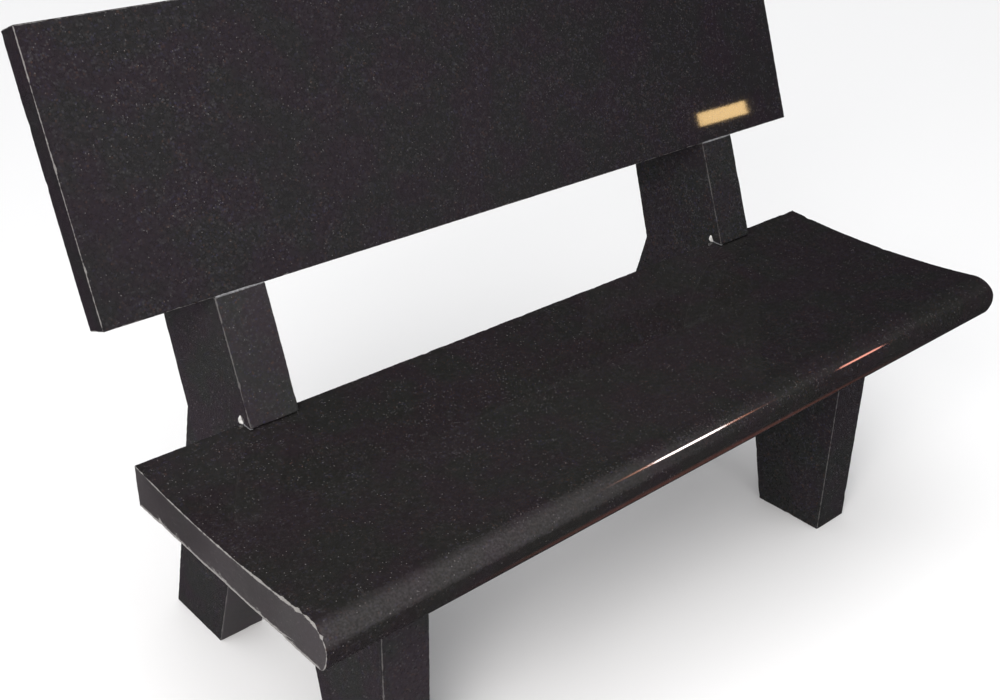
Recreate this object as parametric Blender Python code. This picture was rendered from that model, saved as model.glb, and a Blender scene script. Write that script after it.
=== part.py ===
"""Memorial bench in polished black granite.

Two one-piece supports carry a dished seat slab and a leaning backrest slab.
X runs along the bench, the sitter faces -Y, and Z is up from the floor.
The origin is on the floor, under the middle of the bench.
Outlines are drawn side-on as (y, z) points, with y = 0 at the front of the seat.
"""

import math

import bmesh
import bpy

# Sizes in metres
SEAT_LENGTH = 1.22
SEAT_DEPTH = 0.378
SEAT_THICKNESS = 0.056
SEAT_TOP = 0.415
DISH_DEPTH = 0.010
NOSE_TOP_RUN = 0.034
NOSE_TOP_FALL = 0.026
NOSE_UNDER_RUN = 0.016
DISH_STEPS = 14
NOSE_STEPS = 7

BACK_LENGTH = 1.215
BACK_HEIGHT = 0.337
BACK_THICKNESS = 0.038
BACK_RISE = 0.154

SUPPORT_THICKNESS = 0.069
SUPPORT_INSET = 0.142
SEAT_HOUSING = 0.020
POST_DEPTH = 0.170
POST_STOP = 0.055
KNEE_DROP = 0.038
RAIL_DEPTH = 0.077
FRONT_LEG_SETBACK = 0.108
FRONT_FOOT_DEPTH = 0.118
REAR_FOOT_DEPTH = 0.121

ARRIS = 0.0018
JOINT_GAP = 0.0003

# Angles from the vertical
BACK_LEAN = math.radians(20.5)
POST_REAR_LEAN = math.radians(17.0)
FRONT_LEG_FLARE = math.radians(12.0)
REAR_LEG_SPLAY = math.radians(15.0)
REAR_LEG_INNER_SPLAY = math.radians(18.0)

# The smallest turn between two faces that counts as an arris
ARRIS_ANGLE = math.radians(40.0)

GRANITE_COLOUR = (0.016, 0.014, 0.016, 1.0)
GRANITE_ROUGHNESS = 0.12


def clear_scene():
    """Remove every object that the file opens with."""
    for old in list(bpy.data.objects):
        bpy.data.objects.remove(old, do_unlink=True)


def granite(name):
    """Return a polished black granite material of its own for one piece."""
    material = bpy.data.materials.new(name)
    material.use_nodes = True
    shader = material.node_tree.nodes["Principled BSDF"]
    shader.inputs["Base Color"].default_value = GRANITE_COLOUR
    shader.inputs["Roughness"].default_value = GRANITE_ROUGHNESS
    shader.inputs["Metallic"].default_value = 0.0
    return material


def quarter_ellipse(centre, run, fall, start, end, steps):
    """Return points round part of an ellipse, from angle start to angle end, both included."""
    points = []
    for step in range(steps + 1):
        angle = start + (end - start) * step / steps
        y = centre[0] + run * math.cos(angle)
        z = centre[1] + fall * math.sin(angle)
        points.append((y, z))
    return points


def seat_outline():
    """Side view of the seat: square back, dished top and a rounded front."""
    under = SEAT_TOP - SEAT_THICKNESS
    nose_level = SEAT_TOP - NOSE_TOP_FALL
    outline = [(SEAT_DEPTH, under)]
    dish_run = SEAT_DEPTH - NOSE_TOP_RUN
    for step in range(DISH_STEPS):
        share = step / DISH_STEPS
        sag = 4.0 * share * (1.0 - share) * DISH_DEPTH
        outline.append((SEAT_DEPTH - share * dish_run, SEAT_TOP - sag))
    outline += quarter_ellipse(
        (NOSE_TOP_RUN, nose_level), NOSE_TOP_RUN, NOSE_TOP_FALL,
        math.radians(90.0), math.radians(180.0), NOSE_STEPS)
    outline += quarter_ellipse(
        (NOSE_UNDER_RUN, nose_level), NOSE_UNDER_RUN, nose_level - under,
        math.radians(180.0), math.radians(270.0), NOSE_STEPS)[1:]
    return outline


def post_front(z):
    """Place along y of the post's leaning front face, which is also the backrest's front."""
    return SEAT_DEPTH - SEAT_HOUSING + (z - SEAT_TOP) * math.tan(BACK_LEAN)


def along_back(start, rise, depth):
    """Move from a point up the backrest's lean by rise and back through it by depth."""
    y = start[0] + rise * math.sin(BACK_LEAN) + depth * math.cos(BACK_LEAN)
    z = start[1] + rise * math.cos(BACK_LEAN) - depth * math.sin(BACK_LEAN)
    return (y, z)


def back_foot_point():
    """The backrest's lower front arris, flush with the posts' front faces."""
    z = SEAT_TOP + BACK_RISE
    return (post_front(z), z)


def support_outline():
    """Side view of one support: two feet, a rail under the seat and a leaning post."""
    under_seat = SEAT_TOP - SEAT_THICKNESS - JOINT_GAP
    arch_top = SEAT_TOP - SEAT_THICKNESS - RAIL_DEPTH
    housing_back = SEAT_DEPTH + JOINT_GAP
    housing_top = SEAT_TOP + JOINT_GAP

    front_toe = FRONT_LEG_SETBACK
    front_heel = FRONT_LEG_SETBACK + FRONT_FOOT_DEPTH
    arch_front = front_heel + arch_top * math.tan(FRONT_LEG_FLARE)

    knee_z = SEAT_TOP - KNEE_DROP
    knee_y = SEAT_DEPTH - SEAT_HOUSING + POST_DEPTH - KNEE_DROP * math.tan(POST_REAR_LEAN)
    rear_heel = knee_y + knee_z * math.tan(REAR_LEG_SPLAY)
    rear_toe = rear_heel - REAR_FOOT_DEPTH
    arch_rear = rear_toe - arch_top * math.tan(REAR_LEG_INNER_SPLAY)

    ledge_front = along_back(back_foot_point(), -JOINT_GAP, 0.0)
    ledge_back = along_back(ledge_front, 0.0, BACK_THICKNESS + JOINT_GAP)
    top_front = along_back(ledge_back, JOINT_GAP + BACK_HEIGHT - POST_STOP, 0.0)
    top_rear = meet_post_rear(top_front, knee_y, knee_z)

    return [
        (front_toe, 0.0),
        (front_heel, 0.0),
        (arch_front, arch_top),
        (arch_rear, arch_top),
        (rear_toe, 0.0),
        (rear_heel, 0.0),
        (knee_y, knee_z),
        top_rear,
        top_front,
        ledge_back,
        ledge_front,
        (post_front(housing_top), housing_top),
        (housing_back, housing_top),
        (housing_back, under_seat),
        (front_toe, under_seat),
    ]


def meet_post_rear(top_front, knee_y, knee_z):
    """Run square across the post from its top front corner to its rear face."""
    slope = math.tan(POST_REAR_LEAN)
    behind = knee_y + (top_front[1] - knee_z) * slope - top_front[0]
    depth = behind / (math.cos(BACK_LEAN) + math.sin(BACK_LEAN) * slope)
    return along_back(top_front, 0.0, depth)


def ease_arrises(shape):
    """Take the sharpness off every outer edge, as a mason does."""
    edges = [
        edge for edge in shape.edges
        if edge.is_convex and edge.calc_face_angle() > ARRIS_ANGLE
    ]
    bmesh.ops.bevel(shape, geom=edges, offset=ARRIS, offset_type="OFFSET",
                    segments=2, profile=0.5, affect="EDGES", clamp_overlap=True)


def slab(name, outline, length, material):
    """Make one stone of the given side view, centred on x, and link it to the scene."""
    shape = bmesh.new()
    corners = [shape.verts.new((-length / 2.0, y, z)) for y, z in outline]
    side = shape.faces.new(corners)
    swept = bmesh.ops.extrude_face_region(shape, geom=[side])
    moved = [item for item in swept["geom"] if isinstance(item, bmesh.types.BMVert)]
    bmesh.ops.translate(shape, verts=moved, vec=(length, 0.0, 0.0))
    bmesh.ops.recalc_face_normals(shape, faces=shape.faces)
    ease_arrises(shape)

    mesh = bpy.data.meshes.new(name)
    shape.to_mesh(mesh)
    shape.free()
    mesh.shade_smooth()
    mesh.set_sharp_from_angle(angle=math.radians(25.0))
    mesh.materials.append(material)
    stone = bpy.data.objects.new(name, mesh)
    bpy.context.scene.collection.objects.link(stone)
    return stone


def centre_on_origin(bench):
    """Move the bench so that the origin is under the middle of its bounding box."""
    bpy.context.view_layer.update()
    depths = []
    for stone in bench.children:
        depths += [(stone.matrix_world @ corner.co).y for corner in stone.data.vertices]
    bench.location.y = -(min(depths) + max(depths)) / 2.0


def make_seat(bench):
    """The seat slab."""
    seat = slab("seat", seat_outline(), SEAT_LENGTH, granite("seat_granite"))
    seat.parent = bench


def make_backrest(bench):
    """The backrest slab, turned back about its lower front arris."""
    outline = [
        (0.0, 0.0),
        (BACK_THICKNESS, 0.0),
        (BACK_THICKNESS, BACK_HEIGHT),
        (0.0, BACK_HEIGHT),
    ]
    back = slab("backrest", outline, BACK_LENGTH, granite("backrest_granite"))
    y, z = back_foot_point()
    back.location = (0.0, y, z)
    back.rotation_euler = (-BACK_LEAN, 0.0, 0.0)
    back.parent = bench


def make_supports(bench):
    """The two supports, the same distance in from each end of the seat."""
    outward = SEAT_LENGTH / 2.0 - SUPPORT_INSET - SUPPORT_THICKNESS / 2.0
    for name, side in (("left_support", -1.0), ("right_support", 1.0)):
        support = slab(name, support_outline(), SUPPORT_THICKNESS, granite(name + "_granite"))
        support.location = (side * outward, 0.0, 0.0)
        support.parent = bench


def main():
    clear_scene()
    bench = bpy.data.objects.new("bench", None)
    bpy.context.scene.collection.objects.link(bench)
    make_supports(bench)
    make_seat(bench)
    make_backrest(bench)
    centre_on_origin(bench)
    bpy.context.view_layer.update()


main()
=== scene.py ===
"""Memorial bench in polished black granite: the finished stones, their joints and the studio.

X runs along the bench, the sitter faces -Y, and Z is up from the floor.
Every stone is an outline drawn side-on as (y, z) points and swept along x.
Its arrises are then worn back, and the wear is kept on the mesh for the materials.
"""

import math

import bmesh
import bpy
from mathutils import Euler, Matrix, Vector, noise


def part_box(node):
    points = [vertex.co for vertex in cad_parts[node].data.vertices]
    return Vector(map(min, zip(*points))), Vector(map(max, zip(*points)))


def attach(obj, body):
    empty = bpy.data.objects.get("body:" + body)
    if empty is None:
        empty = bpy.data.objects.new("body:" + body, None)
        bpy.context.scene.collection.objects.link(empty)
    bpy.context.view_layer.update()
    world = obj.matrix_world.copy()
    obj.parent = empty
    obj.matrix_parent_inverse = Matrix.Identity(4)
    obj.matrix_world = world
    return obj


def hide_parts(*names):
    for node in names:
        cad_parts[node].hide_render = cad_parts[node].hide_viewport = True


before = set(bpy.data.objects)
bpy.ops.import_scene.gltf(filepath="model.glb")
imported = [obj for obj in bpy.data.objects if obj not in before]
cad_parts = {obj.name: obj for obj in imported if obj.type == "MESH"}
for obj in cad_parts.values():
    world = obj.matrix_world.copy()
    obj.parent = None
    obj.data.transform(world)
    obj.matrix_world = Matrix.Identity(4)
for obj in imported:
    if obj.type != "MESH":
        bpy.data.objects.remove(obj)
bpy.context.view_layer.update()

bl_info = {
    "name": "Granite memorial bench",
    "version": (1, 0, 0),
    "blender": (4, 5, 0),
    "location": "View3D > Sidebar > Bench",
    "description": "Builds a black granite bench and the studio it stands in",
    "category": "Add Mesh",
}

BODY = "root"

SEAT_LOW, SEAT_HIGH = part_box("seat")
BACK_LOW, BACK_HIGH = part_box("backrest")
SUPPORT_LOW, SUPPORT_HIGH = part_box("left_support")

# How far from an arris the rows of the mesh lie, in metres, and the widest gap between rows
WEAR_ROWS = (0.0005, 0.001, 0.0016, 0.0024, 0.0035, 0.005)
ROW_SPACING = 0.004
# The rows by one arris stop short of the middle of a narrow face
ROWS_SHARE = 0.45
# A corner that turns by more than this is an arris, and wears
ARRIS_ANGLE = math.radians(40.0)
SHARP_ANGLE = math.radians(50.0)
# No wear reaches further in than this
WEAR_REACH = 0.012
# A blunter corner than this is measured as if it were this sharp
BLUNTEST = 0.2
# The arrises round the two ends are numbered from here, past those of any outline
FIRST_END_ARRIS = 50
MILLIMETRES = 1000.0
SAME_PLACE = 1e-6

# How often the wear changes along an arris, in turns per metre
FINE_FRAY = 310.0
BROAD_FRAY = 42.0
KNOCKS = 61.0
# A knock shows where its noise passes this level
KNOCK_LEVEL = 0.30

# Corners that reach the edge of the CAD model's box: behind a post's top, and the backrest's top
POST_TOP_REAR = 7
BACK_TOP = 3

# The largest knock on the seat's left end: where, as (y, z), how far round it, and how heavy
NOSE_KNOCK = Vector((-0.310, 0.402))
KNOCK_RADIUS = 0.004
KNOCK_GAIN = 3.2
# How far the end's lower arris is bruised above where it is worn, and how far round the knock;
# the bruises only pale the colour: partly chipped stone, partly painted highlight, and at the
# knock a painted glint
LOWER_BRUISE_AND_HIGHLIGHT = 0.0038
KNOCK_BRUISE_AND_GLINT = 0.0030
KNOCK_GLINT_RADIUS = 0.005
# How heavy the wear is on the rest of that end: below, on top at the back, added by the nose
UNDER_GAIN = 1.4
TOP_GAIN = 0.8
TOP_GAIN_ADDED = 1.5
END_GAIN = 1.1
# A face is level when its normal is this near to straight up or down
LEVEL = 0.9

DISH_STEPS = 40
NOSE_STEPS = 14

# Each finish: its name, how pale the stone is in it, its roughness and the height of its bumps
POLISHED, HONED, SAWN = range(3)
FINISHES = (
    ("polished", 0.0, 0.030, 0.0000010),
    ("honed", 0.20, 0.42, 0.00005),
    ("sawn", 0.35, 0.70, 0.00025),
)
UNPOLISHED = (0.165, 0.150, 0.158, 1.0)
# Bright specks painted into the colour as glints of light off crystal faces
GLINTING = (0.45, 0.43, 0.42, 1.0)
DUSTY = (0.30, 0.29, 0.28, 1.0)
GLINT_SHARE = 0.30
DUST_SHARE = 0.15
# How pale the painted sheen on the seat's rubbed front edge is, how rough that rubbed place is,
# and how much rougher smears and worn arrises are
SHEEN_AND_RUB_PALENESS = 0.14
RUBBED_ROUGHNESS = 0.06
SMEAR_ROUGHNESS = 0.04
WORN_ROUGHNESS = 0.40
# Heights of the worn arris and of the slow waves in the surface, in metres
WORN_HEIGHT = 0.0006
WAVE_HEIGHT = 0.0002
GRANITE_IOR = 1.5
# Which way the part of the seat's front edge faces that is rubbed and given a painted sheen
NOSE_FACING = (0.0, -0.75, 0.66)

BEAD_SIDES = 10
BEAD_STEP = 0.0012
BEAD_UNEVENNESS = 0.45

# Lamps that show in the nose: name, where on it, which way, size, radiance and colour
NOSE_LAMPS = (
    ("near streak", (-0.075, -0.313, 0.405), (0.67, -0.49, 0.56), (0.24, 0.62), 52.0,
     (1.0, 0.95, 0.93)),
    ("near streak glow", (-0.080, -0.313, 0.405), (0.67, -0.49, 0.56), (0.46, 0.56), 11.0,
     (1.0, 0.38, 0.22)),
    ("near streak rim", (-0.080, -0.313, 0.405), (0.67, -0.49, 0.56), (0.74, 0.46), 4.5,
     (1.0, 0.36, 0.20)),
    ("far streak", (0.270, -0.315, 0.403), (0.769, -0.51, 0.385), (0.14, 0.62), 18.0,
     (1.0, 0.40, 0.30)),
)
LAMP_DISTANCE = 2.5
# They throw a narrow beam, so that they show in the nose and not further back
LAMP_SPREAD = math.radians(9.0)

# The other lamps: where, what at, size and colour
KEY_LAMP = ((-2.05, -1.30, 1.70), (-0.1, 0.0, 0.4), (1.2, 1.2), (1.0, 0.97, 0.95))
WARM_LAMP = ((1.964, -1.17, 0.926), (0.46, 0.108, 0.60), (0.15, 0.04), (1.0, 0.67, 0.30))
SUN_WIDTH = math.radians(70.0)
SUN_TURN = (math.radians(14.0), math.radians(-10.0), 0.0)

FLOOR_REACH = 30.0
FLOOR_ROUGHNESS = 0.9
BACKDROP = (0.92, 0.92, 0.92, 1.0)
ROOM_FILL = (0.50, 0.50, 0.51, 1.0)
DIM_ROOM = (0.026, 0.025, 0.027, 1.0)

CAMERA_PLACE = (-1.1237, -1.1302, 1.2259)
CAMERA_DEGREES = (61.921, -0.877, -41.569)
CAMERA_LENS = 46.355
CAMERA_SENSOR = 36.0

# Soft glows that the polish mirrors: which way, where each starts and is full, and its colour
ROOM_GLOWS = (
    ((0.52, -0.50, 0.69), 0.88, 0.98, (0.20, 0.20, 0.19, 1.0)),
    ((0.660, -0.063, -0.750), 0.975, 0.998, (0.26, 0.095, 0.07, 1.0)),
    ((0.78, 0.49, 0.39), 0.80, 0.97, (0.006, 0.006, 0.011, 1.0)),
    ((0.42, -0.88, 0.17), 0.90, 0.99, (0.16, 0.16, 0.155, 1.0)),
    ((-0.62, 0.66, 0.42), 0.78, 0.98, (0.34, 0.35, 0.37, 1.0)),
    ((-0.70, -0.55, 0.45), 0.80, 0.98, (0.20, 0.20, 0.21, 1.0)),
)


def length(name, default, description):
    """A size in metres that a user can change."""
    return bpy.props.FloatProperty(
        name=name, description=description, default=default,
        min=0.0, precision=4, unit="LENGTH")


def angle(name, degrees, description):
    """An angle that a user can change."""
    return bpy.props.FloatProperty(
        name=name, description=description, default=math.radians(degrees),
        subtype="ANGLE", unit="ROTATION")


def colour(name, default, description):
    """A colour that a user can change."""
    return bpy.props.FloatVectorProperty(
        name=name, description=description, default=default,
        min=0.0, max=1.0, size=3, subtype="COLOR")


class BenchShape(bpy.types.PropertyGroup):
    """Sizes of the stones."""

    seat_length: length("Seat length", SEAT_HIGH.x - SEAT_LOW.x, "Length of the seat slab")
    seat_depth: length("Seat depth", SEAT_HIGH.y - SEAT_LOW.y, "Front to back of the seat slab")
    seat_thickness: length(
        "Seat thickness", SEAT_HIGH.z - SEAT_LOW.z, "Thickness of the seat slab at its back")
    seat_top: length("Seat height", SEAT_HIGH.z, "Height of the seat's back arris")
    dish_depth: length("Dish depth", 0.010, "How far the seat is hollowed in the middle")
    nose_top_run: length("Nose run", 0.034, "How far back the front rounding starts on top")
    nose_top_fall: length("Nose fall", 0.026, "How far down the upper front rounding reaches")
    nose_under_run: length("Nose under run", 0.016, "How far back the lower rounding ends")
    back_length: length("Backrest length", BACK_HIGH.x - BACK_LOW.x, "Length of the backrest")
    back_height: length("Backrest height", 0.337, "Height of the backrest along its lean")
    back_thickness: length("Backrest thickness", 0.038, "Thickness of the backrest slab")
    back_rise: length("Backrest rise", 0.154, "From the seat up to the backrest")
    back_lean: angle("Backrest lean", 20.5, "Lean of the backrest from the vertical")
    support_thickness: length(
        "Support thickness", SUPPORT_HIGH.x - SUPPORT_LOW.x, "Thickness of each support")
    support_inset: length(
        "Support inset", SUPPORT_LOW.x - SEAT_LOW.x, "From the seat's end to a support")
    seat_housing: length("Seat housing", 0.020, "How deep the seat is let into the posts")
    post_depth: length("Post depth", 0.170, "Front to back of a post at the seat")
    post_stop: length("Post stop", 0.055, "From the top of a post to the backrest's top")
    post_rear_lean: angle("Post rear lean", 17.0, "Lean of the back of a post")
    knee_drop: length("Knee drop", 0.038, "From the seat's top down to the bend behind a post")
    rail_depth: length("Rail depth", 0.077, "Depth of the rail under the seat")
    front_leg_setback: length("Front leg setback", 0.108, "From the seat's front to a front foot")
    front_foot_depth: length("Front foot depth", 0.118, "Front to back of a front foot")
    front_leg_flare: angle("Front leg flare", 12.0, "Slope of the back of a front leg")
    rear_foot_depth: length("Rear foot depth", 0.121, "Front to back of a rear foot")
    rear_leg_splay: angle("Rear leg splay", 15.0, "Slope of the back of a rear leg")
    rear_leg_inner_splay: angle("Rear leg inner splay", 18.0, "Slope of the front of a rear leg")
    joint_gap: length("Joint gap", 0.0003, "Clearance where two stones meet")


class ArrisWear(bpy.types.PropertyGroup):
    """How far the arrises are rubbed back and knocked."""

    ease: length("Ease", 0.0011, "Width of the rubbed arris")
    least: length("Least", 0.0004, "Width of the arris where it is sharpest")
    eased: length("Eased", 0.0021, "Width of an arris that is eased all along")
    fray: length("Fray", 0.0008, "How much that width wanders")
    chip: length("Chip", 0.0035, "Size of the largest knocks")


class GraniteColours(bpy.types.PropertyGroup):
    """Colours of the granite and of what fills its joints."""

    back_ground: colour("Backrest ground", (0.0150, 0.0125, 0.0146), "Between the crystals")
    seat_ground: colour("Seat ground", (0.0145, 0.0125, 0.0128), "Between the crystals")
    # The left support's ground is painted lighter and the right's darker: painted light and
    # painted shade on one granite
    left_lit_ground: colour("Left support ground", (0.0255, 0.0228, 0.0246), "Between the crystals")
    right_shaded_ground: colour("Right support ground", (0.0190, 0.0177, 0.0186), "Between the crystals")
    grey_crystal: colour("Grey crystal", (0.052, 0.050, 0.053), "Common pale crystals")
    blue_crystal: colour("Blue crystal", (0.034, 0.031, 0.056), "Scattered blue crystals")
    brown_crystal: colour("Brown crystal", (0.058, 0.034, 0.026), "Scattered brown crystals")
    # Pale bruised stone along the arrises, also standing as painted highlight where light catches
    # them
    worn_stone_and_highlight: colour("Worn stone", (0.26, 0.25, 0.24), "Bruised stone along an arris")
    compound: colour("Joint compound", (0.24, 0.24, 0.25), "Along the joints")
    dab: colour("Pale compound", (0.72, 0.71, 0.69), "Dabs left at the feet of the posts")


class StudioLight(bpy.types.PropertyGroup):
    """The floor and the lamps."""

    floor: colour("Floor", (0.90, 0.90, 0.90), "Pale studio floor")
    key_power: bpy.props.FloatProperty(
        name="Key power", description="Power of the main soft lamp", default=52.0,
        min=0.0, unit="POWER")
    sky_strength: bpy.props.FloatProperty(
        name="Overhead strength", description="Strength of the wide soft light from above",
        default=1.75, min=0.0)
    warm_power: bpy.props.FloatProperty(
        name="Warm lamp power", description="Power of the small lamp seen in the backrest",
        default=0.26, min=0.0, unit="POWER")
    streak_strength: bpy.props.FloatProperty(
        name="Streak strength", description="Strength of the lamps seen along the nose",
        default=1.0, min=0.0)


def add_object(name, data):
    """Add an object to the scene."""
    thing = bpy.data.objects.new(name, data)
    bpy.context.scene.collection.objects.link(thing)
    return thing


def finished_mesh(name, shape):
    """Turn a bmesh into a smooth mesh, and free it."""
    bmesh.ops.recalc_face_normals(shape, faces=shape.faces)
    mesh = bpy.data.meshes.new(name)
    shape.to_mesh(mesh)
    shape.free()
    mesh.shade_smooth()
    return mesh


class Corner:
    """One corner of an outline, with the way inward and how sharp it is."""

    def __init__(self, before, here, after):
        self.point = here
        run_in = (here - before).normalized()
        run_out = (after - here).normalized()
        turn = math.atan2(run_in.cross(run_out), run_in.dot(run_out))
        half = (math.pi - turn) / 2.0
        inward = Vector((-run_in.y, run_in.x)) + Vector((-run_out.y, run_out.x))
        self.inward = inward.normalized()
        self.is_arris = turn > ARRIS_ANGLE
        self.closeness = math.cos(half)
        self.mitre = math.cos(half) / math.sin(half)


class Outline:
    """A closed side view, anticlockwise, with a finish for the face after each point."""

    def __init__(self, points, finishes):
        self.points = [Vector(point) for point in points]
        self.finishes = finishes
        count = len(self.points)
        self.corners = [
            Corner(self.points[index - 1], self.points[index], self.points[(index + 1) % count])
            for index in range(count)
        ]
        self.places = self.make_places()

    def make_places(self):
        """Places round the outline where the mesh has a vertex."""
        places = []
        run = 0.0
        for index, start in enumerate(self.corners):
            end = self.corners[(index + 1) % len(self.corners)]
            span = (end.point - start.point).length
            for gap, keep in spaced(span, start.is_arris, end.is_arris):
                places.append(Place(index, start, end, span, gap, keep, run + gap))
            run += span
        return places


class Place:
    """One place on an outline: the face it is on and how far along it lies."""

    def __init__(self, index, start, end, span, gap, keep, run):
        self.index = index
        self.start = start
        self.end = end
        self.span = span
        self.gap = gap
        self.keep = keep
        self.run = run
        along = (end.point - start.point).normalized()
        self.along = along
        self.face_inward = Vector((-along.y, along.x))
        self.inward = start.inward if gap == 0.0 else self.face_inward

    def at(self, inset):
        """The place moved square into the stone, stopping where two faces meet."""
        shift = self.face_inward * inset
        if self.gap == 0.0:
            return self.start.point + self.along * (inset * self.start.mitre) + shift
        if self.gap * 2.0 < self.span:
            gap = max(self.gap, inset * self.start.mitre)
            return self.start.point + self.along * gap + shift
        gap = max(self.span - self.gap, inset * self.end.mitre)
        return self.end.point - self.along * gap + shift


def spaced(span, worn_start, worn_end):
    """Distances along a face, close by its arrises, and whether each row runs right through."""
    rows = [row for row in WEAR_ROWS if row < span * ROWS_SHARE]
    low = rows[-1] if worn_start and rows else 0.0
    high = span - (rows[-1] if worn_end and rows else 0.0)
    distances = [(0.0, True)]
    if worn_start:
        distances += [(row, True) for row in rows]
    steps = max(1, math.ceil((high - low) / ROW_SPACING))
    distances += [(low + (high - low) * step / steps, False) for step in range(1, steps)]
    if worn_end:
        distances += [(span - row, True) for row in reversed(rows)]
    return distances


class Wear:
    """How the arrises of one stone are worn."""

    def __init__(self, settings, seed, end_gains, eased_corner=None, bruise=None):
        self.settings = settings
        self.seed = seed
        self.end_gains = end_gains
        self.eased_corner = eased_corner
        self.bruise = bruise

    def depth(self, arris, along, gain):
        """How far one arris is worn back at one place along it."""
        # Each noise is read on a line of its own, and so is each arris
        seed = self.seed + arris * 3.7
        fine = noise.noise(Vector((along * FINE_FRAY, seed, 0.3)))
        broad = noise.noise(Vector((along * BROAD_FRAY, seed, 7.7)))
        knock = noise.noise(Vector((along * KNOCKS, seed, 4.1)))
        depth = self.settings.ease + self.settings.fray * (0.6 * fine + 0.7 * broad)
        if knock > KNOCK_LEVEL:
            depth += self.settings.chip * (knock - KNOCK_LEVEL)
        return max(self.settings.least, depth * gain)

    def least_depth(self, index):
        """One corner of the outline may be eased all along, and still polished."""
        return self.settings.eased if index == self.eased_corner else 0.0


def worn_point(place, inset, x, ends, outline, wear):
    """Where a vertex lies after wear, and how deep in the worn band it is, in millimetres."""
    flat = place.at(inset)
    point = Vector((x, flat.x, flat.y))
    deepest = -WEAR_REACH
    for index, corner in enumerate(outline.corners):
        if not corner.is_arris or (flat - corner.point).length > WEAR_REACH:
            continue
        depth = wear.depth(index, x, 1.0)
        reach = (flat - corner.point).dot(corner.inward)
        back = max(depth, wear.least_depth(index)) * corner.closeness - reach
        if back > 0.0:
            point.y += corner.inward.x * back
            point.z += corner.inward.y * back
        deepest = max(deepest, depth - reach / max(corner.closeness, BLUNTEST))
    for side, end in enumerate(ends):
        gap = abs(x - end)
        if gap + inset > WEAR_REACH:
            continue
        gain = wear.end_gains[side]
        if callable(gain):
            gain = gain(place)
        depth = wear.depth(FIRST_END_ARRIS + side, place.run, gain)
        back = (depth - gap - inset) / 2.0
        if back > 0.0:
            point.x += back if side == 0 else -back
            point.y += place.inward.x * back
            point.z += place.inward.y * back
        # A bruise only pales the colour, partly as painted highlight
        bruise = wear.bruise(place, side) if wear.bruise else 0.0
        deepest = max(deepest, depth + bruise - gap - inset)
    return point, deepest * MILLIMETRES


class StoneMaker:
    """Sweeps an outline into one stone whose arrises are worn."""

    def __init__(self, outline, ends, wear, end_finish):
        self.outline = outline
        self.ends = ends
        self.wear = wear
        self.end_finish = end_finish
        self.shape = bmesh.new()
        self.layer = self.shape.verts.layers.float.new("wear")

    def ring(self, x, inset, spare):
        """One ring of vertices. A spare ring leaves out the fine places, which are None in it."""
        verts = []
        last = None
        for place in self.outline.places:
            if spare and not place.keep:
                verts.append(None)
                continue
            flat = place.at(inset)
            if last is not None and (flat - last[0]).length < SAME_PLACE:
                verts.append(last[1])
                continue
            point, deepest = worn_point(place, inset, x, self.ends, self.outline, self.wear)
            vert = self.shape.verts.new(point)
            vert[self.layer] = deepest
            verts.append(vert)
            last = (flat, vert)
        return verts

    def face(self, verts, finish):
        """Make a face, leaving out repeated vertices."""
        corners = []
        for vert in verts:
            if vert not in corners:
                corners.append(vert)
        if len(corners) > 2:
            self.shape.faces.new(corners).material_index = finish

    def join(self, first, second, finish=None):
        """Fill between two rings, also where one has fewer vertices than the other."""
        count = len(first)
        shared = [index for index in range(count) if first[index] and second[index]]
        for index, start in enumerate(shared):
            end = shared[(index + 1) % len(shared)]
            if end <= start:
                end += count
            near = [first[step % count] for step in range(start, end + 1)]
            far = [second[step % count] for step in range(end, start - 1, -1)]
            chosen = self.outline.finishes[self.outline.places[start].index]
            self.face(
                [vert for vert in near + far if vert],
                chosen if finish is None else finish)

    def cap(self, x, edge):
        """Close one end: rows that follow its arris, then one flat face."""
        outer = edge
        for inset in WEAR_ROWS:
            inner = self.ring(x, inset, False)
            self.join(outer, inner, self.end_finish)
            outer = inner
        self.face(outer, self.end_finish)

    def make(self, name):
        """Sweep from end to end and return the finished object."""
        low, high = self.ends
        rings = []
        for gap, keep in spaced(high - low, True, True) + [(high - low, True)]:
            rings.append((low + gap, self.ring(low + gap, 0.0, not keep)))
        for (_, first), (_, second) in zip(rings, rings[1:]):
            self.join(first, second)
        self.cap(low, rings[0][1])
        self.cap(high, rings[-1][1])
        mesh = finished_mesh(name, self.shape)
        mesh.set_sharp_from_angle(angle=SHARP_ANGLE)
        return add_object(name, mesh)


def quarter_ellipse(centre, run, fall, start, end, steps):
    """Points round part of an ellipse, both ends included."""
    points = []
    for step in range(steps + 1):
        turn = math.radians(start + (end - start) * step / steps)
        points.append((centre[0] + run * math.cos(turn), centre[1] + fall * math.sin(turn)))
    return points


def seat_outline(shape):
    """Side view of the seat: square back, dished top and a rounded front."""
    front = SEAT_LOW.y
    back = front + shape.seat_depth
    under = shape.seat_top - shape.seat_thickness
    nose_level = shape.seat_top - shape.nose_top_fall
    dish_run = shape.seat_depth - shape.nose_top_run
    points = [(back, under)]
    finishes = [HONED]
    for step in range(DISH_STEPS):
        share = step / DISH_STEPS
        sag = 4.0 * share * (1.0 - share) * shape.dish_depth
        points.append((back - share * dish_run, shape.seat_top - sag))
        finishes.append(POLISHED)
    upper = quarter_ellipse(
        (front + shape.nose_top_run, nose_level), shape.nose_top_run, shape.nose_top_fall,
        90.0, 180.0, NOSE_STEPS)
    lower = quarter_ellipse(
        (front + shape.nose_under_run, nose_level), shape.nose_under_run, nose_level - under,
        180.0, 270.0, NOSE_STEPS)[1:]
    points += upper + lower
    finishes += [POLISHED] * (len(upper) + len(lower) - 1) + [SAWN]
    return Outline(points, finishes)


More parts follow.
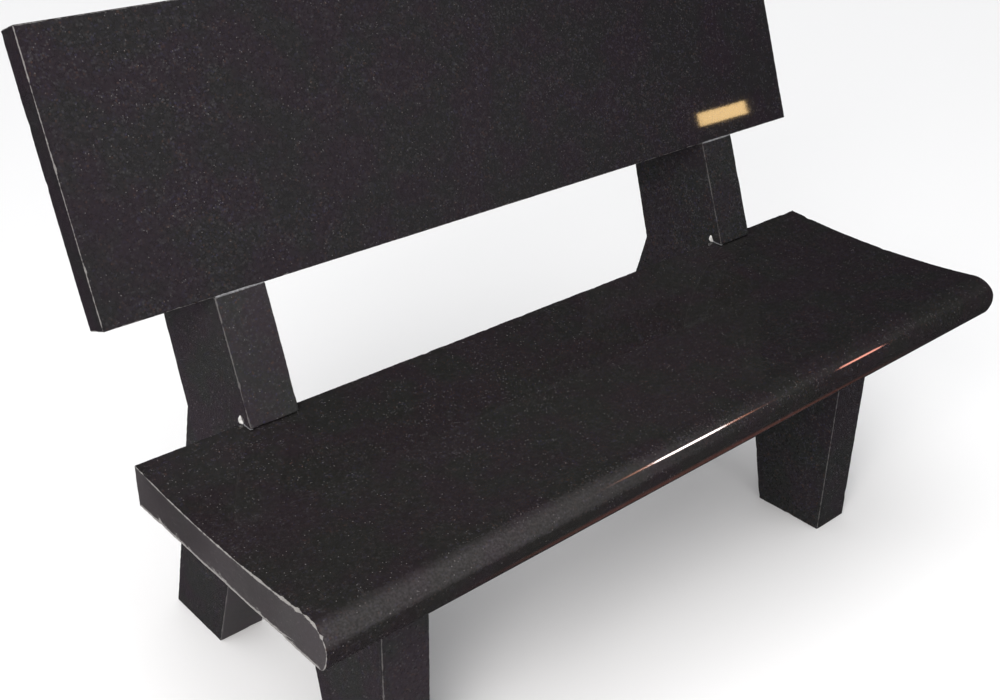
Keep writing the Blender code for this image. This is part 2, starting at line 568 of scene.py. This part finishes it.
def along_back(shape, start, rise, depth):
    """Move from a point up the backrest's lean by rise and back through it by depth."""
    lean = shape.back_lean
    y = start[0] + rise * math.sin(lean) + depth * math.cos(lean)
    z = start[1] + rise * math.cos(lean) - depth * math.sin(lean)
    return (y, z)


def post_front(shape, z):
    """Place along y of the post's leaning front face, which is also the backrest's front."""
    foot = SEAT_LOW.y + shape.seat_depth - shape.seat_housing
    return foot + (z - shape.seat_top) * math.tan(shape.back_lean)


def back_foot_point(shape):
    """The backrest's lower front arris, flush with the posts' front faces."""
    z = shape.seat_top + shape.back_rise
    return (post_front(shape, z), z)


def backrest_outline(shape):
    """Side view of the backrest slab, leaning back."""
    foot = back_foot_point(shape)
    rear = along_back(shape, foot, 0.0, shape.back_thickness)
    top_rear = along_back(shape, rear, shape.back_height, 0.0)
    top = along_back(shape, foot, shape.back_height, 0.0)
    return Outline([foot, rear, top_rear, top], [POLISHED, HONED, POLISHED, POLISHED])


def support_outline(shape):
    """Side view of one support: two feet, a rail under the seat and a leaning post."""
    gap = shape.joint_gap
    under_seat = shape.seat_top - shape.seat_thickness - gap
    arch_top = shape.seat_top - shape.seat_thickness - shape.rail_depth
    seat_back = SEAT_LOW.y + shape.seat_depth
    housing_top = shape.seat_top + gap

    front_toe = SEAT_LOW.y + shape.front_leg_setback
    front_heel = front_toe + shape.front_foot_depth
    arch_front = front_heel + arch_top * math.tan(shape.front_leg_flare)

    post_slope = math.tan(shape.post_rear_lean)
    knee_z = shape.seat_top - shape.knee_drop
    knee_y = seat_back - shape.seat_housing + shape.post_depth - shape.knee_drop * post_slope
    rear_heel = knee_y + knee_z * math.tan(shape.rear_leg_splay)
    rear_toe = rear_heel - shape.rear_foot_depth
    arch_rear = rear_toe - arch_top * math.tan(shape.rear_leg_inner_splay)

    ledge_front = along_back(shape, back_foot_point(shape), -gap, 0.0)
    ledge_back = along_back(shape, ledge_front, 0.0, shape.back_thickness + gap)
    rise = gap + shape.back_height - shape.post_stop
    top_front = along_back(shape, ledge_back, rise, 0.0)
    behind = knee_y + (top_front[1] - knee_z) * post_slope - top_front[0]
    top_depth = behind / (math.cos(shape.back_lean) + math.sin(shape.back_lean) * post_slope)
    top_rear = along_back(shape, top_front, 0.0, top_depth)

    points = [
        (front_toe, 0.0),
        (front_heel, 0.0),
        (arch_front, arch_top),
        (arch_rear, arch_top),
        (rear_toe, 0.0),
        (rear_heel, 0.0),
        (knee_y, knee_z),
        top_rear,
        top_front,
        ledge_back,
        ledge_front,
        (post_front(shape, housing_top), housing_top),
        (seat_back + gap, housing_top),
        (seat_back + gap, under_seat),
        (front_toe, under_seat),
    ]
    finishes = [
        SAWN, HONED, HONED, HONED, SAWN, HONED, HONED, HONED,
        SAWN, SAWN, POLISHED, SAWN, SAWN, SAWN, POLISHED,
    ]
    return Outline(points, finishes)


class NodeTree:
    """Short ways to add and link the nodes of one tree."""

    def __init__(self, tree):
        self.tree = tree

    def add(self, kind, **settings):
        """Add a node and set its own settings."""
        node = self.tree.nodes.new(kind)
        for name, value in settings.items():
            setattr(node, name, value)
        return node

    def feed(self, socket, source):
        """Set a socket to a value, or link it to another node's output."""
        if isinstance(source, bpy.types.NodeSocket):
            self.tree.links.new(source, socket)
        else:
            socket.default_value = source

    def maths(self, operation, first, second, third=0.0, clamp=False):
        """One step of arithmetic."""
        node = self.add("ShaderNodeMath", operation=operation, use_clamp=clamp)
        self.feed(node.inputs[0], first)
        self.feed(node.inputs[1], second)
        self.feed(node.inputs[2], third)
        return node.outputs[0]

    def product(self, *factors):
        """Several values multiplied together."""
        result = factors[0]
        for factor in factors[1:]:
            result = self.maths("MULTIPLY", result, factor)
        return result

    def blend(self, share, first, second, kind="MIX"):
        """Mix two colours."""
        node = self.add("ShaderNodeMix", data_type="RGBA", blend_type=kind)
        self.feed(node.inputs["Factor"], share)
        self.feed(node.inputs["A"], first)
        self.feed(node.inputs["B"], second)
        return node.outputs["Result"]

    def between(self, value, low, high, out_low=0.0, out_high=1.0):
        """Carry a value smoothly from one range to another."""
        node = self.add("ShaderNodeMapRange", interpolation_type="SMOOTHSTEP")
        self.feed(node.inputs["Value"], value)
        self.feed(node.inputs["From Min"], low)
        self.feed(node.inputs["From Max"], high)
        self.feed(node.inputs["To Min"], out_low)
        self.feed(node.inputs["To Max"], out_high)
        return node.outputs["Result"]

    def bump(self, shader, height, distance):
        """Raise the surface by a height, given in units of the distance in metres."""
        node = self.add("ShaderNodeBump")
        node.inputs["Distance"].default_value = distance
        self.feed(node.inputs["Height"], height)
        self.feed(shader.inputs["Normal"], node.outputs["Normal"])

    def place(self, offset):
        """Where a point lies on the stone, shifted so that no two stones match."""
        coordinates = self.add("ShaderNodeTexCoord")
        shift = self.add("ShaderNodeVectorMath", operation="ADD")
        self.feed(shift.inputs[0], coordinates.outputs["Object"])
        self.feed(shift.inputs[1], offset)
        return shift.outputs[0]

    def cells(self, place, scale):
        """Random numbers, one set for each crystal of the given scale."""
        node = self.add("ShaderNodeTexVoronoi", feature="F1")
        self.feed(node.inputs["Vector"], place)
        self.feed(node.inputs["Scale"], scale)
        split = self.add("ShaderNodeSeparateColor")
        self.feed(split.inputs["Color"], node.outputs["Color"])
        return split.outputs, node.outputs["Distance"]

    def clouds(self, place, scale, detail=2.0):
        """Soft noise from 0 to 1."""
        node = self.add("ShaderNodeTexNoise")
        self.feed(node.inputs["Vector"], place)
        self.feed(node.inputs["Scale"], scale)
        self.feed(node.inputs["Detail"], detail)
        return node.outputs["Fac"]


def new_material(name):
    """Start a material, and return it with its nodes and its shader."""
    material = bpy.data.materials.new(name)
    material.use_nodes = True
    return material, NodeTree(material.node_tree), material.node_tree.nodes["Principled BSDF"]


def new_group(name, inputs, outputs):
    """Start a node group with the given sockets, each a name, a kind and a default."""
    tree = bpy.data.node_groups.new(name, "ShaderNodeTree")
    for socket_name, kind, default in inputs:
        socket = tree.interface.new_socket(name=socket_name, in_out="INPUT", socket_type=kind)
        socket.default_value = default
    for socket_name, kind in outputs:
        tree.interface.new_socket(name=socket_name, in_out="OUTPUT", socket_type=kind)
    nodes = NodeTree(tree)
    entry = nodes.add("NodeGroupInput")
    leave = nodes.add("NodeGroupOutput")
    return nodes, entry.outputs, leave.inputs


def granite_grain(name):
    """Black granite: dark ground, packed crystals of several colours and a few painted glints."""
    nodes, given, result = new_group(
        name,
        [
            ("Ground", "NodeSocketColor", (0.015, 0.013, 0.016, 1.0)),
            ("Grey crystal", "NodeSocketColor", (0.06, 0.057, 0.062, 1.0)),
            ("Blue crystal", "NodeSocketColor", (0.04, 0.036, 0.07, 1.0)),
            ("Brown crystal", "NodeSocketColor", (0.075, 0.04, 0.028, 1.0)),
            ("Crystal strength", "NodeSocketFloat", 1.0),
            ("Offset", "NodeSocketVector", (0.0, 0.0, 0.0)),
        ],
        [
            ("Colour", "NodeSocketColor"),
            ("Glint", "NodeSocketFloat"),
            ("Height", "NodeSocketFloat"),
        ])
    place = nodes.place(given["Offset"])

    # Noise bends the borders between the crystals
    bend = nodes.add("ShaderNodeTexNoise")
    nodes.feed(bend.inputs["Vector"], place)
    nodes.feed(bend.inputs["Scale"], 600.0)
    bent = nodes.add("ShaderNodeVectorMath", operation="MULTIPLY_ADD")
    nodes.feed(bent.inputs[0], bend.outputs["Color"])
    bent.inputs[1].default_value = (0.0016, 0.0016, 0.0016)
    nodes.feed(bent.inputs[2], place)
    crystals = bent.outputs[0]
    small, small_distance = nodes.cells(crystals, 400.0)
    large, large_distance = nodes.cells(crystals, 150.0)
    tiny, tiny_distance = nodes.cells(place, 620.0)
    cloud = nodes.clouds(place, 7.0, 3.0)
    tint = nodes.clouds(place, 45.0, 2.0)

    patch = nodes.product(
        nodes.between(large["Green"], 0.2, 0.9, 0.20, 0.62),
        nodes.between(large_distance, 0.8, 0.3, 0.7, 1.0))
    amount = nodes.product(
        nodes.between(small["Red"], 0.2, 1.0),
        nodes.between(small_distance, 0.9, 0.1, 0.1, 1.0),
        patch,
        nodes.between(cloud, 0.25, 0.75, 0.7, 1.3))
    amount = nodes.maths("MULTIPLY", amount, given["Crystal strength"], clamp=True)

    coolness = nodes.maths("ADD", small["Green"], nodes.maths("SUBTRACT", tint, 0.5))
    blue = nodes.between(coolness, 0.55, 0.85)
    brown = nodes.between(small["Blue"], 0.72, 0.92)
    crystal = nodes.blend(blue, given["Grey crystal"], given["Blue crystal"])
    crystal = nodes.blend(brown, crystal, given["Brown crystal"])
    mottle = nodes.between(nodes.clouds(place, 170.0, 2.0), 0.3, 0.7, 0.90, 1.10)
    cast = nodes.between(nodes.clouds(place, 16.0, 3.0), 0.38, 0.62)
    tinted = nodes.blend(cast, (0.93, 1.06, 0.96, 1.0), (1.06, 0.96, 1.05, 1.0))
    toned = nodes.blend(1.0, given["Ground"], tinted, "MULTIPLY")
    ground = nodes.add("ShaderNodeVectorMath", operation="SCALE")
    nodes.feed(ground.inputs[0], toned)
    nodes.feed(ground.inputs["Scale"], mottle)
    body = nodes.blend(amount, ground.outputs[0], crystal)
    # Painted glints: sparse bright specks that stand for light off crystal faces
    glint = nodes.product(
        nodes.between(tiny["Red"], 0.975, 0.995), nodes.between(tiny_distance, 0.55, 0.15))
    nodes.feed(result["Colour"], body)
    nodes.feed(result["Glint"], glint)
    nodes.feed(result["Height"], nodes.maths("ADD", small_distance, small["Red"]))
    return nodes.tree


def arris_wear(name):
    """Reads the wear kept on the mesh and frays its border."""
    nodes, given, result = new_group(
        name,
        [
            ("Fray", "NodeSocketFloat", 0.8),
            ("Spread", "NodeSocketFloat", 0.0),
            ("Offset", "NodeSocketVector", (0.0, 0.0, 0.0)),
        ],
        [("Worn", "NodeSocketFloat"), ("Height", "NodeSocketFloat")])
    depth = nodes.add("ShaderNodeAttribute", attribute_name="wear").outputs["Fac"]
    place = nodes.place(given["Offset"])
    fine = nodes.clouds(place, 420.0, 3.0)
    broad = nodes.clouds(place, 90.0, 2.0)
    wander = nodes.maths("SUBTRACT", nodes.maths("ADD", fine, broad), 1.0)
    border = nodes.maths("MULTIPLY_ADD", wander, given["Fray"], depth)
    worn = nodes.between(nodes.maths("ADD", border, given["Spread"]), 0.0, 0.5)
    nodes.feed(result["Worn"], worn)
    nodes.feed(result["Height"], nodes.product(worn, fine))
    return nodes.tree


def dust_and_smears(name):
    """Faint dust that settles on what faces up, and smears left by wiping."""
    nodes, given, result = new_group(
        name,
        [
            ("Amount", "NodeSocketFloat", 0.3),
            ("Offset", "NodeSocketVector", (0.0, 0.0, 0.0)),
        ],
        [("Dust", "NodeSocketFloat"), ("Smear", "NodeSocketFloat"), ("Wave", "NodeSocketFloat")])
    place = nodes.place(given["Offset"])
    normal = nodes.add("ShaderNodeNewGeometry").outputs["True Normal"]
    split = nodes.add("ShaderNodeSeparateXYZ")
    nodes.feed(split.inputs[0], normal)
    upward = nodes.between(split.outputs["Z"], 0.3, 1.0)
    patches = nodes.between(nodes.clouds(place, 5.0, 4.0), 0.4, 0.75)
    specks = nodes.between(nodes.clouds(place, 700.0, 1.0), 0.62, 0.8)
    stretch = nodes.add("ShaderNodeVectorMath", operation="MULTIPLY")
    nodes.feed(stretch.inputs[0], place)
    stretch.inputs[1].default_value = (3.0, 14.0, 14.0)
    smear = nodes.between(nodes.clouds(stretch.outputs[0], 1.0, 4.0), 0.42, 0.7)
    nodes.feed(result["Dust"], nodes.product(upward, patches, specks, given["Amount"]))
    nodes.feed(result["Smear"], smear)
    nodes.feed(result["Wave"], nodes.clouds(place, 7.0, 1.0))
    return nodes.tree


def sheen_and_rub_on_nose(name):
    """Painted sheen, with dulling from use, on the seat's rounded front edge where it faces up
    and forward, more towards the left end.
    """
    nodes, given, result = new_group(
        name, [("Amount", "NodeSocketFloat", 0.0)], [("Sheen and rub", "NodeSocketFloat")])
    place = nodes.place((0.0, 0.0, 0.0))
    facing = nodes.add("ShaderNodeVectorMath", operation="DOT_PRODUCT")
    nodes.feed(facing.inputs[0], nodes.add("ShaderNodeNewGeometry").outputs["Normal"])
    nodes.feed(facing.inputs[1], NOSE_FACING)
    edge = nodes.between(facing.outputs["Value"], 0.78, 0.97)
    along = nodes.add("ShaderNodeSeparateXYZ")
    nodes.feed(along.inputs[0], place)
    left = nodes.between(along.outputs["X"], -0.42, 0.12, 1.0, 0.0)
    patches = nodes.between(nodes.clouds(place, 380.0, 5.0), 0.35, 0.65, 0.45, 1.0)
    nodes.feed(result["Sheen and rub"], nodes.product(edge, left, patches, given["Amount"]))
    return nodes.tree


def whole(rgb):
    """A colour with full alpha."""
    return (*list(rgb)[:3], 1.0)


def place_group(nodes, build, **values):
    """Put a node group in a material and set its sockets. The first use builds the group."""
    name = build.__name__.replace("_", " ")
    tree = bpy.data.node_groups.get(name) or build(name)
    node = nodes.add("ShaderNodeGroup", node_tree=tree)
    for socket, value in values.items():
        nodes.feed(node.inputs[socket.replace("_", " ")], value)
    return node.outputs


def granite_material(name, ground, offset, finish, worn_and_highlight_share, strength, sheen_and_rub_share):
    """One finish of the granite: polished, honed or left from the saw.

    The offset keeps the grain of two stones apart, and strength is how much the crystals show.
    """
    colours = bpy.context.scene.granite_colours
    material, nodes, shader = new_material(name)
    grain = place_group(
        nodes, granite_grain, Ground=whole(ground), Grey_crystal=whole(colours.grey_crystal),
        Blue_crystal=whole(colours.blue_crystal), Brown_crystal=whole(colours.brown_crystal),
        Crystal_strength=strength, Offset=offset)
    wear = place_group(nodes, arris_wear, Fray=2.0, Spread=-0.35, Offset=offset)
    dust = place_group(nodes, dust_and_smears, Amount=DUST_SHARE, Offset=offset)
    nose_sheen_and_rub = place_group(nodes, sheen_and_rub_on_nose, Amount=sheen_and_rub_share)

    _, pale, roughness, bump_height = FINISHES[finish]
    # What isn't polished is paler, and more so in patches
    patchy = nodes.between(dust["Wave"], 0.35, 0.65, 0.75 * pale, 1.3 * pale)
    # The nose is paled by a painted sheen as well as by rubbing
    dulled = nodes.maths("MULTIPLY_ADD", nose_sheen_and_rub["Sheen and rub"], SHEEN_AND_RUB_PALENESS, patchy)
    stone = nodes.blend(dulled, grain["Colour"], UNPOLISHED)
    stone = nodes.blend(nodes.product(grain["Glint"], GLINT_SHARE), stone, GLINTING)
    stone = nodes.blend(dust["Dust"], stone, DUSTY)
    # The arrises are paled by chips and wear and by painted highlight along them
    worn = nodes.product(wear["Worn"], worn_and_highlight_share)
    nodes.feed(shader.inputs["Base Color"], nodes.blend(worn, stone, whole(colours.worn_stone_and_highlight)))

    rough = nodes.maths("MULTIPLY_ADD", dust["Smear"], SMEAR_ROUGHNESS, roughness)
    rough = nodes.maths("MULTIPLY_ADD", nose_sheen_and_rub["Sheen and rub"], RUBBED_ROUGHNESS, rough)
    rough = nodes.maths("MULTIPLY_ADD", wear["Worn"], WORN_ROUGHNESS, rough, clamp=True)
    nodes.feed(shader.inputs["Roughness"], rough)
    shader.inputs["IOR"].default_value = GRANITE_IOR

    height = nodes.product(grain["Height"], bump_height)
    height = nodes.maths("MULTIPLY_ADD", wear["Height"], WORN_HEIGHT, height)
    height = nodes.maths("MULTIPLY_ADD", dust["Wave"], WAVE_HEIGHT, height)
    nodes.bump(shader, height, 1.0)
    return material


def dress(stone, ground, offset, worn_and_highlight_share, strength, node, sheen_and_rub_share=0.0):
    """Give a stone its three finishes and put it in place of its CAD node."""
    for finish in (POLISHED, HONED, SAWN):
        stone.data.materials.append(granite_material(
            stone.name + " " + FINISHES[finish][0], ground, offset, finish,
            worn_and_highlight_share, strength, sheen_and_rub_share))
    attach(stone, BODY)
    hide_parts(node)


class BENCH_OT_seat(bpy.types.Operator):
    """Build the seat slab"""

    bl_idname = "bench.seat"
    bl_label = "Seat"

    def execute(self, context):
        shape = context.scene.bench_shape
        outline = seat_outline(shape)

        def left_gain(place):
            """Heavier along the top towards the nose, with one large knock on the nose."""
            spot = place.at(0.0)
            forward = (SEAT_HIGH.y - spot.x) / shape.seat_depth
            if (spot - NOSE_KNOCK).length < KNOCK_RADIUS:
                return KNOCK_GAIN
            if place.face_inward.y > LEVEL:
                return UNDER_GAIN
            if place.face_inward.y < -LEVEL:
                return TOP_GAIN + TOP_GAIN_ADDED * forward
            return END_GAIN

        def bruise(place, side):
            """The lower arris is bruised above where it is worn, and so is the knock: pale marks
            that are partly painted highlight, with a painted glint at the knock.
            """
            if side == 1:
                return 0.0
            if (place.at(0.0) - NOSE_KNOCK).length < KNOCK_GLINT_RADIUS:
                return KNOCK_BRUISE_AND_GLINT
            return LOWER_BRUISE_AND_HIGHLIGHT if place.face_inward.y > LEVEL else 0.0

        wear = Wear(
            context.scene.arris_wear, seed=11.0, end_gains=(left_gain, END_GAIN), bruise=bruise)
        half = shape.seat_length / 2.0
        stone = StoneMaker(outline, (-half, half), wear, HONED).make("seat_stone")
        dress(stone, context.scene.granite_colours.seat_ground, offset=(0.0, 0.0, 0.0),
              worn_and_highlight_share=0.8, strength=0.9, node="seat", sheen_and_rub_share=1.0)
        return {"FINISHED"}


class BENCH_OT_backrest(bpy.types.Operator):
    """Build the backrest slab"""

    bl_idname = "bench.backrest"
    bl_label = "Backrest"

    def execute(self, context):
        shape = context.scene.bench_shape
        outline = backrest_outline(shape)
        wear = Wear(
            context.scene.arris_wear, seed=23.0, end_gains=(1.3, 1.0), eased_corner=BACK_TOP)
        half = shape.back_length / 2.0
        stone = StoneMaker(outline, (-half, half), wear, POLISHED).make("backrest_stone")
        dress(stone, context.scene.granite_colours.back_ground, offset=(3.1, 1.7, 0.4),
              worn_and_highlight_share=0.6, strength=1.1, node="backrest")
        return {"FINISHED"}


class BENCH_OT_supports(bpy.types.Operator):
    """Build the two supports"""

    bl_idname = "bench.supports"
    bl_label = "Supports"

    def execute(self, context):
        shape = context.scene.bench_shape
        outline = support_outline(shape)
        outer = shape.seat_length / 2.0 - shape.support_inset
        inner = outer - shape.support_thickness
        colours = context.scene.granite_colours
        # Each support takes its own ground: painted light on the left, painted shade on the right
        for name, ends, seed, ground in (
                ("left_support", (-outer, -inner), 37.0, colours.left_lit_ground),
                ("right_support", (inner, outer), 53.0, colours.right_shaded_ground)):
            wear = Wear(context.scene.arris_wear, seed, end_gains=(1.2, 1.0),
                        eased_corner=POST_TOP_REAR)
            stone = StoneMaker(outline, ends, wear, POLISHED).make(name + "_stone")
            dress(stone, ground, offset=(seed, 0.3, 2.2), worn_and_highlight_share=0.28, strength=1.9,
                  node=name)
        return {"FINISHED"}


def compound_material(name, tint):
    """The dull compound that the stones are set in."""
    material, nodes, shader = new_material(name)
    place = nodes.place((0.0, 0.0, 0.0))
    mottle = nodes.between(nodes.clouds(place, 260.0, 3.0), 0.3, 0.7)
    darker = whole(part * 0.6 for part in tint)
    nodes.feed(shader.inputs["Base Color"], nodes.blend(mottle, tint, darker))
    nodes.feed(shader.inputs["Roughness"], nodes.between(mottle, 0.0, 1.0, 0.55, 0.8))
    nodes.bump(shader, nodes.clouds(place, 900.0, 2.0), 0.0004)
    return material


def compound_bead(name, route, seed, material):
    """A bead of compound squeezed along a joint. The route's points each carry a radius."""
    stations = []
    for (start, thin), (end, thick) in zip(route, route[1:]):
        start, end = Vector(start), Vector(end)
        steps = max(2, round((end - start).length / BEAD_STEP))
        for step in range(steps):
            share = step / steps
            stations.append((start.lerp(end, share), thin + (thick - thin) * share))
    stations.append((Vector(route[-1][0]), route[-1][1]))
    shape = bmesh.new()
    rings = []
    for index, (centre, radius) in enumerate(stations):
        before = stations[max(index - 1, 0)][0]
        after = stations[min(index + 1, len(stations) - 1)][0]
        facing = (after - before).to_track_quat("Z", "Y")
        ring = []
        for side in range(BEAD_SIDES):
            turn = 2.0 * math.pi * side / BEAD_SIDES
            uneven = noise.noise(Vector((index * 0.35, side * 0.8, seed)))
            reach = radius * (1.0 + BEAD_UNEVENNESS * uneven)
            ring.append(shape.verts.new(
                centre + facing @ Vector((reach * math.cos(turn), reach * math.sin(turn), 0.0))))
        rings.append(ring)
    for first, second in zip(rings, rings[1:]):
        for side in range(BEAD_SIDES):
            following = (side + 1) % BEAD_SIDES
            shape.faces.new((first[side], first[following], second[following], second[side]))
    shape.faces.new(reversed(rings[0]))
    shape.faces.new(rings[-1])
    mesh = finished_mesh(name, shape)
    mesh.materials.append(material)
    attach(add_object(name, mesh), BODY)


class BENCH_OT_joints(bpy.types.Operator):
    """Fill the joints under the backrest and round the feet of the posts"""

    bl_idname = "bench.joints"
    bl_label = "Joints"

    def execute(self, context):
        shape = context.scene.bench_shape
        outer = shape.seat_length / 2.0 - shape.support_inset
        inner = outer - shape.support_thickness
        # In the gap under the backrest, and hardly proud of its front
        ledge_y, ledge_z = along_back(shape, back_foot_point(shape), -0.0003, 0.0009)
        foot_y = post_front(shape, shape.seat_top)
        seat_back = SEAT_LOW.y + shape.seat_depth
        top = shape.seat_top
        colours = context.scene.granite_colours
        grey = compound_material("grey compound", whole(colours.compound))
        pale = compound_material("pale compound", whole(colours.dab))
        for name, left, right, seed in (
                ("left", -outer, -inner, 3.0), ("right", inner, outer, 8.0)):
            compound_bead(
                name + "_ledge_bead",
                [
                    ((left + 0.0015, ledge_y, ledge_z), 0.0008),
                    ((left + 0.0080, ledge_y, ledge_z), 0.0017),
                    ((left + 0.0400, ledge_y, ledge_z), 0.0016),
                    ((right - 0.0015, ledge_y, ledge_z), 0.0009),
                ],
                seed, grey)
            compound_bead(
                name + "_foot_bead",
                [
                    ((left + 0.0030, foot_y + 0.0002, top), 0.0004),
                    ((left, foot_y + 0.0012, top), 0.0006),
                    ((left, seat_back - 0.0060, top + 0.0003), 0.0007),
                    ((left, seat_back - 0.0030, top + 0.0010), 0.0009),
                ],
                seed + 1.0, grey)
            compound_bead(
                name + "_dab",
                [
                    ((left, seat_back - 0.0030, top + 0.0006), 0.0008),
                    ((left, seat_back + 0.0002, top + 0.0022), 0.0032),
                    ((left, seat_back + 0.0022, top + 0.0042), 0.0034),
                    ((left, seat_back + 0.0026, top + 0.0080), 0.0018),
                    ((left, seat_back + 0.0026, top + 0.0100), 0.0006),
                ],
                seed + 2.0, pale)
        return {"FINISHED"}


def studio_lamp(name, place, target, size, power, tint, shape="RECTANGLE"):
    """A flat lamp that the camera doesn't see, with its sides level with X."""
    data = bpy.data.lights.new(name, "AREA")
    data.shape = shape
    data.size = size[0]
    data.size_y = size[1]
    data.energy = power
    data.color = tint
    lamp = add_object(name, data)
    away = (Vector(place) - Vector(target)).normalized()
    upright = Vector((1.0, 0.0, 0.0)).cross(away).normalized()
    turn = Matrix((upright.cross(away), upright, away)).transposed()
    lamp.matrix_world = Matrix.Translation(place) @ turn.to_4x4()
    lamp.visible_camera = False
    return lamp


def soft_sun(strength):
    """Wide light from above that falls the same on all of the floor."""
    data = bpy.data.lights.new("overhead light", "SUN")
    data.energy = strength
    data.angle = SUN_WIDTH
    sun = add_object("overhead light", data)
    sun.rotation_euler = SUN_TURN
    sun.visible_glossy = False


def light_only(lamp, name):
    """Let a lamp fall on one stone alone."""
    lit = bpy.data.collections.new(lamp.name)
    lit.objects.link(bpy.data.objects[name])
    lamp.light_linking.receiver_collection = lit


def studio_floor(tint):
    """A wide pale floor that the polish doesn't mirror."""
    mesh = bpy.data.meshes.new("floor")
    corners = [
        (x * FLOOR_REACH, y * FLOOR_REACH, 0.0) for x, y in ((-1, -1), (1, -1), (1, 1), (-1, 1))]
    mesh.from_pydata(corners, [], [(0, 1, 2, 3)])
    material, _, shader = new_material("floor")
    shader.inputs["Base Color"].default_value = whole(tint)
    shader.inputs["Roughness"].default_value = FLOOR_ROUGHNESS
    mesh.materials.append(material)
    floor = add_object("floor", mesh)
    floor.visible_glossy = False


def studio_world():
    """Pale behind the bench, and a dim room in the polish."""
    world = bpy.data.worlds.new("studio")
    world.use_nodes = True
    nodes = NodeTree(world.node_tree)
    background = world.node_tree.nodes["Background"]
    path = nodes.add("ShaderNodeLightPath")
    direction = nodes.add("ShaderNodeTexCoord").outputs["Generated"]
    mirrored = DIM_ROOM
    for towards, low, high, glow in ROOM_GLOWS:
        nearness = nodes.add("ShaderNodeVectorMath", operation="DOT_PRODUCT")
        nodes.feed(nearness.inputs[0], direction)
        nearness.inputs[1].default_value = Vector(towards).normalized()
        share = nodes.between(nearness.outputs["Value"], low, high)
        mirrored = nodes.blend(share, mirrored, glow)
    room = nodes.blend(path.outputs["Is Glossy Ray"], ROOM_FILL, mirrored)
    seen = nodes.blend(path.outputs["Is Camera Ray"], room, BACKDROP)
    nodes.feed(background.inputs["Color"], seen)
    bpy.context.scene.world = world


def nose_lamp(name, start, towards, size, radiance, tint):
    """A narrow lamp for one streak along the nose, at the power that gives its radiance."""
    place = Vector(start) + Vector(towards).normalized() * LAMP_DISTANCE
    half = LAMP_SPREAD / 2.0
    power = radiance * math.pi * size[0] * size[1] * (1.0 - half / math.tan(half))
    lamp = studio_lamp(name, place, start, size, power, tint, "ELLIPSE")
    lamp.data.spread = LAMP_SPREAD
    light_only(lamp, "seat_stone")


def studio_camera():
    """The camera at the photograph's viewing angle."""
    data = bpy.data.cameras.new("camera")
    data.sensor_width = CAMERA_SENSOR
    data.lens = CAMERA_LENS
    camera = add_object("camera", data)
    camera.location = CAMERA_PLACE
    camera.rotation_euler = Euler([math.radians(turn) for turn in CAMERA_DEGREES])
    bpy.context.scene.camera = camera


class BENCH_OT_stage(bpy.types.Operator):
    """Build the floor, the lamps and the camera"""

    bl_idname = "bench.stage"
    bl_label = "Stage"

    def execute(self, context):
        light = context.scene.studio_light
        studio_floor(light.floor)
        studio_world()
        key = studio_lamp("key lamp", *KEY_LAMP[:3], light.key_power, KEY_LAMP[3])
        key.visible_glossy = False
        soft_sun(light.sky_strength)
        warm = studio_lamp("warm lamp", *WARM_LAMP[:3], light.warm_power, WARM_LAMP[3])
        light_only(warm, "backrest_stone")
        for name, start, towards, size, radiance, tint in NOSE_LAMPS:
            nose_lamp(name, start, towards, size, light.streak_strength * radiance, tint)
        studio_camera()
        context.scene.view_settings.view_transform = "Standard"
        return {"FINISHED"}


class BENCH_PT_panel(bpy.types.Panel):
    """The bench's pieces and sizes"""

    bl_idname = "BENCH_PT_panel"
    bl_label = "Granite bench"
    bl_space_type = "VIEW_3D"
    bl_region_type = "UI"
    bl_category = "Bench"

    def draw(self, context):
        layout = self.layout
        for piece in OPERATORS:
            layout.operator(piece.bl_idname)
        for owner in (context.scene.bench_shape, context.scene.arris_wear,
                      context.scene.granite_colours, context.scene.studio_light):
            box = layout.box()
            for name in owner.__annotations__:
                box.prop(owner, name)


OPERATORS = (
    BENCH_OT_seat, BENCH_OT_backrest, BENCH_OT_supports, BENCH_OT_joints, BENCH_OT_stage)
GROUPS = {
    "bench_shape": BenchShape,
    "arris_wear": ArrisWear,
    "granite_colours": GraniteColours,
    "studio_light": StudioLight,
}


def register():
    """Give the scene its settings and make the pieces known to Blender."""
    for name, group in GROUPS.items():
        bpy.utils.register_class(group)
        setattr(bpy.types.Scene, name, bpy.props.PointerProperty(type=group))
    for piece in OPERATORS:
        bpy.utils.register_class(piece)
    bpy.utils.register_class(BENCH_PT_panel)


def unregister():
    """Take away what register added."""
    bpy.utils.unregister_class(BENCH_PT_panel)
    for piece in reversed(OPERATORS):
        bpy.utils.unregister_class(piece)
    for name, group in reversed(GROUPS.items()):
        delattr(bpy.types.Scene, name)
        bpy.utils.unregister_class(group)


def main():
    """Build the bench piece by piece, then the stage."""
    register()
    bpy.ops.bench.seat()
    bpy.ops.bench.backrest()
    bpy.ops.bench.supports()
    bpy.ops.bench.joints()
    bpy.ops.bench.stage()


if __name__ == "__main__":
    main()
